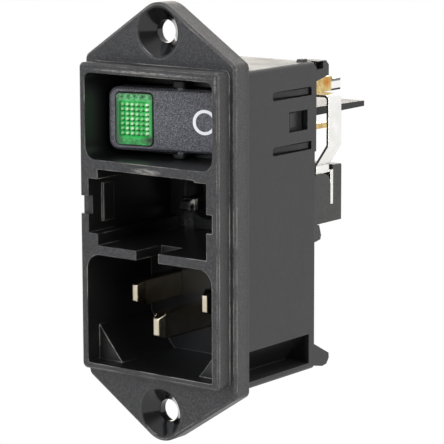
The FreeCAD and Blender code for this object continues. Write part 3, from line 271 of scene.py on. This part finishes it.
rim_front = -6.28
ear_front = -3.46
hole_height = 30
scuffs = [((-0.3, rim_front, 8.7), (3.2, 0.5, 0.55)),
          ((0.3, rim_front, 23.85), (13.5, 0.4, 0.26)),
          ((13.1, rim_front, 22.9), (0.26, 0.4, 1.6))]
countersinks = [((0, ear_front, level), (4.05, 5.0, 4.05)) for level in (-hole_height, hole_height)]
compartments = (12.8, 24.0, rim_front + 0.08)
housing_black = moulded("glass_filled_nylon", "#0b0b0c", "#363638", "#8f8c86", 0.28, 0.12, 0.45, scuffs,
                        countersinks, smooth_rear=0.2, compartments=compartments)
finish("housing", housing_black)

# Switch base
# The black nylon moulding behind the rocker, with the contact chambers, the bearing ears, the barbs
# that snap into the housing's roof and the long barrier plate between the poles. Its mould is fine.
base_black = moulded("switch_nylon", "#0b0b0c", "#1b1b1b", "#4b4844", 0.22, 0.03, 0.42, ior=1.4)
finish("switch_base", base_black)

# Fuse block
# A black nylon insert pushed in from behind, with the two round pockets that take the ends of the
# fuses and the tall shield plate behind the strap.
block_black = moulded("block_nylon", "#10100f", "#2c2b2a", "#8a867c", 0.26, 0.05, 0.45)
finish("fuse_block", block_black)

# Rocker
# A cap of black polycarbonate, moulded with its two trunnions, which snap into the bearing ears.
# Its face has an even spark-eroded grain, a little lighter than the housing.
rocker_black = moulded("grained_polycarbonate", "#2b2b2e", "#84848c", "#8a8a92", 0.2, 0.06, 0.48)
finish("rocker", rocker_black)

# Off mark
# The ring that stands for off, pad-printed in white ink on the right half of the rocker, which
# lies tilted on its trunnions.
tilt = math.radians(15)
pivot = Vector((0, 2.45, 15.74)) * MM
face_front = 1.0
mark_across = 4.2
mark_radius = 1.98
mark_stroke = 0.5
ink_depth = 0.03
bpy.ops.object.select_all(action="DESELECT")
bpy.ops.mesh.primitive_circle_add(vertices=96, radius=mark_radius * MM, fill_type="NGON")
mark = bpy.context.object
mark.name = "off_mark"
bpy.ops.object.mode_set(mode="EDIT")
bpy.ops.mesh.select_all(action="SELECT")
bpy.ops.mesh.inset(thickness=mark_stroke * MM, depth=0)
bpy.ops.mesh.delete(type="FACE")
bpy.ops.mesh.select_all(action="SELECT")
bpy.ops.mesh.normals_make_consistent(inside=False)
bpy.ops.mesh.extrude_region_move(TRANSFORM_OT_translate={"value": (0, 0, ink_depth * MM)})
bpy.ops.mesh.select_all(action="SELECT")
bpy.ops.mesh.normals_make_consistent(inside=False)
bpy.ops.object.mode_set(mode="OBJECT")
to_face = Matrix.Translation(pivot) @ Matrix.Rotation(tilt, 4, "Z") @ Matrix.Translation(
    Vector((mark_across, -face_front - ink_depth / 2, 0)) * MM) @ Matrix.Rotation(math.radians(90), 4, "X")
mark.data.transform(to_face)
ink, tree = blank_material("white_pad_ink")
place = add(tree, "ShaderNodeTexCoord").outputs["Object"]
mottle = add(tree, "ShaderNodeTexNoise", {"Vector": place, "Scale": 1 / (0.4 * MM), "Detail": 2.0})
ink_tone = add(tree, "ShaderNodeMix", {"Factor": mottle.outputs["Fac"], "A": linear("#f2f6fa"),
                                       "B": linear("#ffffff")}, data_type="RGBA")
shader = add(tree, "ShaderNodeBsdfPrincipled", {"Roughness": 0.45, "IOR": 1.5,
                                                "Base Color": ink_tone.outputs["Result"]})
add(tree, "ShaderNodeOutputMaterial", {"Surface": shader.outputs[0]})
mark.data.materials.append(ink)
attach(mark, "rocker")

# Lens
# Clear green polycarbonate, clipped into the rocker over the lamp, with a waffle of small pyramids on its
# back. The bright dots where the pyramids gather the light are painted highlights: the column on the right is
# nearly white, and three left of the middle are paler than the rest. The plain border is painted dark for the
# shade of the rocker's inside behind it, with a painted pale reflection along its top, and painted shade
# darkens a spot in each cell and two patches low on the lens.
column_pitch = 0.85
row_pitch = 0.76
columns = 6
rows = 7
lens_middle = -7.64
column_light = (0.2, 0.6, 0.65, 0.4, 0.25, 1.0)
green, tree = blank_material("green_polycarbonate")
place = add(tree, "ShaderNodeTexCoord").outputs["Object"]
on_face = add(tree, "ShaderNodeMapping", {"Vector": place, "Location": pivot, "Rotation": (0, 0, tilt),
                                          "Scale": (MM, MM, MM)}, vector_type="TEXTURE").outputs[0]
axes = add(tree, "ShaderNodeSeparateXYZ", {0: on_face})

# Position counted in columns and rows of the waffle, from its lower left corner.
across = add(tree, "ShaderNodeMath", {0: axes.outputs["X"], 1: 1 / column_pitch,
                                      2: columns / 2 - lens_middle / column_pitch},
             operation="MULTIPLY_ADD").outputs[0]
up = add(tree, "ShaderNodeMath", {0: axes.outputs["Z"], 1: 1 / row_pitch, 2: rows / 2},
         operation="MULTIPLY_ADD").outputs[0]
grid = add(tree, "ShaderNodeCombineXYZ", {0: across, 1: up}).outputs[0]
cell = add(tree, "ShaderNodeVectorMath", {0: grid}, operation="FLOOR").outputs[0]
in_cell = add(tree, "ShaderNodeVectorMath", {0: grid}, operation="FRACTION").outputs[0]
in_waffle = 1.0
for position, count in ((across, columns), (up, rows)):
    beside = add(tree, "ShaderNodeMath", {0: position, 1: count / 2}, operation="SUBTRACT")
    away = add(tree, "ShaderNodeMath", {0: beside.outputs[0]}, operation="ABSOLUTE")
    within = add(tree, "ShaderNodeMapRange", {"Value": away.outputs[0], "From Min": count / 2 + 0.1,
                                              "From Max": count / 2 - 0.1})
    in_waffle = add(tree, "ShaderNodeMath", {0: within.outputs[0], 1: in_waffle},
                    operation="MULTIPLY").outputs[0]


def in_every_cell(middle, radius, level):
    """A soft round spot in each cell of the waffle, as strong as a level."""
    away = add(tree, "ShaderNodeVectorMath", {0: in_cell, 1: (*middle, 0)}, operation="DISTANCE")
    spot = add(tree, "ShaderNodeMapRange", {"Value": away.outputs["Value"], "From Min": radius,
                                            "From Max": radius * 0.3}, interpolation_type="SMOOTHSTEP")
    masked = add(tree, "ShaderNodeMath", {0: spot.outputs[0], 1: in_waffle}, operation="MULTIPLY")
    return add(tree, "ShaderNodeMath", {0: masked.outputs[0], 1: level}, operation="MULTIPLY").outputs[0]


# Painted highlights: a level for each column, uneven from cell to cell, for the bright dot in each cell.
part_way = add(tree, "ShaderNodeMath", {0: across, 1: columns}, operation="DIVIDE")
ramp = add(tree, "ShaderNodeValToRGB", {0: part_way.outputs[0]})
ramp.color_ramp.interpolation = "CONSTANT"
for column, level in enumerate(column_light):
    stop = ramp.color_ramp.elements[0] if column == 0 else ramp.color_ramp.elements.new(column / columns)
    stop.color = (level, level, level, 1)
ramp.color_ramp.elements.remove(ramp.color_ramp.elements[-1])
chance = add(tree, "ShaderNodeTexWhiteNoise", {"Vector": cell})
uneven = add(tree, "ShaderNodeMapRange", {"Value": chance.outputs["Value"], "To Min": 0.6})
painted_glint = add(tree, "ShaderNodeMath", {0: ramp.outputs[0], 1: uneven.outputs[0]},
            operation="MULTIPLY").outputs[0]

stretched = add(tree, "ShaderNodeMapping", {"Vector": on_face, "Scale": (1.6, 1, 0.5)})
streaks = add(tree, "ShaderNodeTexNoise", {"Vector": stretched.outputs[0], "Scale": 1.4, "Detail": 3.0,
                                           "Distortion": 0.8})
mottle = add(tree, "ShaderNodeTexNoise", {"Vector": on_face, "Scale": 1.9, "Detail": 4.0,
                                          "Distortion": 0.6})
body = add(tree, "ShaderNodeMix", {"Factor": streaks.outputs["Fac"], "A": linear("#0a9031"),
                                   "B": linear("#3fcd66")}, data_type="RGBA").outputs["Result"]

# Bands of the border, all painted light and shade: the dark ones paint the shade of the rocker's inside seen
# through the clear lens, and the pale one along the top is a painted reflection. Each gives along which way,
# where it starts and is full, its least and most strength in the mottle, and its colour.
for position, start, full, least, most, tint in (
        (across, 0.9, -0.7, 1.0, 0.9, "#12381d"),
        (across, columns + 0.05, columns + 0.5, 0.9, 0.8, "#0a5a24"),
        (up, rows + 0.1, rows + 1.1, 0.1, 1.0, "#163a20"),
        (up, rows - 0.2, rows + 0.7, 0.8, -0.3, "#7fb98c"),
        (up, -0.1, -1.2, -0.1, 1.0, "#184a26"),
        (across, -1.0, -1.3, 1.0, 1.0, "#071009"),
        (across, columns + 0.8, columns + 1.1, 1.0, 1.0, "#062a10"),
        (up, rows + 1.6, rows + 1.85, 1.0, 1.0, "#071009")):
    painted_band = add(tree, "ShaderNodeMapRange", {"Value": position, "From Min": start, "From Max": full})
    patchy = add(tree, "ShaderNodeMapRange", {"Value": mottle.outputs["Fac"], "From Min": 0.3,
                                              "From Max": 0.7, "To Min": least, "To Max": most})
    amount = add(tree, "ShaderNodeMath", {0: painted_band.outputs[0], 1: patchy.outputs[0]}, operation="MULTIPLY",
                 use_clamp=True)
    body = add(tree, "ShaderNodeMix", {"Factor": amount.outputs[0], "A": body, "B": linear(tint)},
               data_type="RGBA").outputs["Result"]
# Painted shade: two dark patches low on the lens and a dark spot low in each cell, then the painted
# highlights over them.
painted_shade_low_right = near(tree, place, (-4.6, 0.2, 12.5), (1.6, 1.5, 0.9), 0.8)
painted_shade_low_left = near(tree, place, (-10.4, -1.3, 12.6), (1.5, 1.5, 0.9), 0.8)
for painted_spots, tint in ((painted_shade_low_right, "#0c2a12"), (painted_shade_low_left, "#2c4a36"),
                    (in_every_cell((0.7, 0.08), 0.5, 0.9), "#08401a"),
                    (in_every_cell((0.5, 0.56), 0.44, painted_glint), "#f6ffe6")):
    body = add(tree, "ShaderNodeMix", {"Factor": painted_spots, "A": body, "B": linear(tint)},
               data_type="RGBA").outputs["Result"]
shader = add(tree, "ShaderNodeBsdfPrincipled", {"Roughness": 0.12, "IOR": 1.58, "Base Color": body})
add(tree, "ShaderNodeOutputMaterial", {"Surface": shader.outputs[0]})
finish("rocker_lens", green)


# Contact levers
# Two tipping levers stamped from bare brass strip, one for each pole, which rock on the middle
# terminals under the plungers.
def metal(name, dark, light, roughness, smear, rounding=0.12, recolour=None):
    """Slightly clouded metal with rounded edges; smear is the cloud's size in millimetres."""
    material, tree = blank_material(name)
    place = add(tree, "ShaderNodeTexCoord").outputs["Object"]
    cloud = add(tree, "ShaderNodeTexNoise", {"Vector": place, "Scale": 1 / (smear * MM),
                                             "Detail": 4.0}).outputs["Fac"]
    colour = add(tree, "ShaderNodeMix", {"Factor": cloud, "A": linear(dark), "B": linear(light)},
                 data_type="RGBA").outputs["Result"]
    if recolour:
        colour = recolour(tree, place, colour)
    gloss = add(tree, "ShaderNodeMapRange", {"Value": cloud, "From Min": 0.3, "From Max": 0.7,
                                             "To Min": roughness - 0.05, "To Max": roughness + 0.08})
    rounded = add(tree, "ShaderNodeBevel", {"Radius": rounding * MM}, samples=8)
    relief = add(tree, "ShaderNodeBump", {"Height": cloud, "Normal": rounded.outputs[0], "Strength": 0.3,
                                          "Distance": 0.01 * MM})
    shader = add(tree, "ShaderNodeBsdfPrincipled", {"Base Color": colour, "Metallic": 1.0,
                                                    "Roughness": gloss.outputs[0],
                                                    "Normal": relief.outputs[0]})
    add(tree, "ShaderNodeOutputMaterial", {"Surface": shader.outputs[0]})
    return material


brass = metal("stamped_brass", "#c9a060", "#f3d796", 0.25, 2.5)
for name in ("contact_lever_upper", "contact_lever_lower"):
    finish(name, brass)

# Straps, links, fuse contacts and springs
# Strips of tinned copper and brass, stamped, bent and soldered, which join the blades, the fuses and
# the switch, and the two bright coil springs behind the plungers.
tin = metal("hot_dipped_tin", "#e4e3df", "#fbfaf6", 0.22, 1.8)
for name in ("line_strap", "neutral_strap", "line_link", "neutral_link", "fuse_contact_line",
             "fuse_contact_neutral", "plunger_spring_upper", "plunger_spring_lower"):
    finish(name, tin)

# Inlet blades
# Three solid brass blades, nickel plated and tumbled, so that their edges are softly rounded. They
# are pressed into the floor of the inlet.
nickel = metal("nickel_plate", "#aba088", "#f2e9d6", 0.14, 3.0, rounding=0.4)
for name in ("line_pin", "neutral_pin", "earth_pin"):
    finish(name, nickel)

# Terminals
# Four blades stamped from brass strip and pushed into the switch base. Their tips were dipped in tin for
# soldering, which left a brown stain of heat on the brass. The tinned tip's top edge is painted grey and its
# bottom edge dark, as painted shade.
tip_start = (29.4, 29.9)
upper_painted_shade = (19.9, 20.05)
lower_painted_shade = (18.85, 18.75)
heat_stain = ((9.4, 28.4, 20.0), (1.2, 1.4, 1.3))


def dip_in_tin(tree, place, colour):
    """The brass colour with the stain of heat and the tinned tip over it, whose top and bottom edges carry
    painted shade.
    """
    axes = add(tree, "ShaderNodeSeparateXYZ", {0: place})
    stained = near(tree, place, *heat_stain, 0.9)
    colour = add(tree, "ShaderNodeMix", {"Factor": stained, "A": colour, "B": linear("#c47a1c")},
                 data_type="RGBA").outputs["Result"]
    tinned = linear("#f6f5f2")
    # Painted shade: a grey band along the top edge of the tinned tip and a dark band along its bottom edge.
    for (clear, full), tint in ((upper_painted_shade, "#7c807a"), (lower_painted_shade, "#2a2724")):
        edge = add(tree, "ShaderNodeMapRange", {"Value": axes.outputs["Z"], "From Min": clear * MM,
                                                "From Max": full * MM})
        tinned = add(tree, "ShaderNodeMix", {"Factor": edge.outputs[0], "A": tinned, "B": linear(tint)},
                     data_type="RGBA").outputs["Result"]
    tip = add(tree, "ShaderNodeMapRange", {"Value": axes.outputs["Y"], "From Min": tip_start[0] * MM,
                                           "From Max": tip_start[1] * MM})
    return add(tree, "ShaderNodeMix", {"Factor": tip.outputs[0], "A": colour, "B": tinned},
               data_type="RGBA").outputs["Result"]


tipped_brass = metal("tin_tipped_brass", "#8a5208", "#ffeca6", 0.15, 0.8, recolour=dip_in_tin)
for name in ("fulcrum_terminal_upper", "fulcrum_terminal_lower", "fixed_terminal_upper",
             "fixed_terminal_lower"):
    finish(name, tipped_brass)

# Lamp
# A small neon bulb of clear glass, slightly hazy, held in the hollow of the rocker behind the
# lens. It glows when the switch is on, and is dark here.
glass, tree = blank_material("lamp_glass")
place = add(tree, "ShaderNodeTexCoord").outputs["Object"]
haze = add(tree, "ShaderNodeTexNoise", {"Vector": place, "Scale": 1 / (0.8 * MM)})
haze_gloss = add(tree, "ShaderNodeMapRange", {"Value": haze.outputs["Fac"], "To Min": 0.03, "To Max": 0.12})
shader = add(tree, "ShaderNodeBsdfPrincipled", {"Base Color": linear("#f4f4f2"), "IOR": 1.5,
                                                "Transmission Weight": 0.8,
                                                "Roughness": haze_gloss.outputs[0]})
add(tree, "ShaderNodeOutputMaterial", {"Surface": shader.outputs[0]})
finish("neon_lamp", glass)

# Plungers
# Two pins of natural nylon, moulded smooth, that slide in the rocker's bores. Their springs press
# them on the contact levers.
pale = moulded("natural_nylon", "#cfccc0", "#dedbd0", "#e4e2da", 0.3, 0.01, 0.4)
for name in ("plunger_upper", "plunger_lower"):
    finish(name, pale)

# Lamp resistor
# A ceramic rod dipped in tan lacquer, which lies in the switch base beside the lever chambers and
# limits the lamp's current.
lacquer = moulded("resistor_lacquer", "#b08a58", "#c39b66", "#c9a877", 0.3, 0.01, 0.35)
finish("lamp_resistor", lacquer)
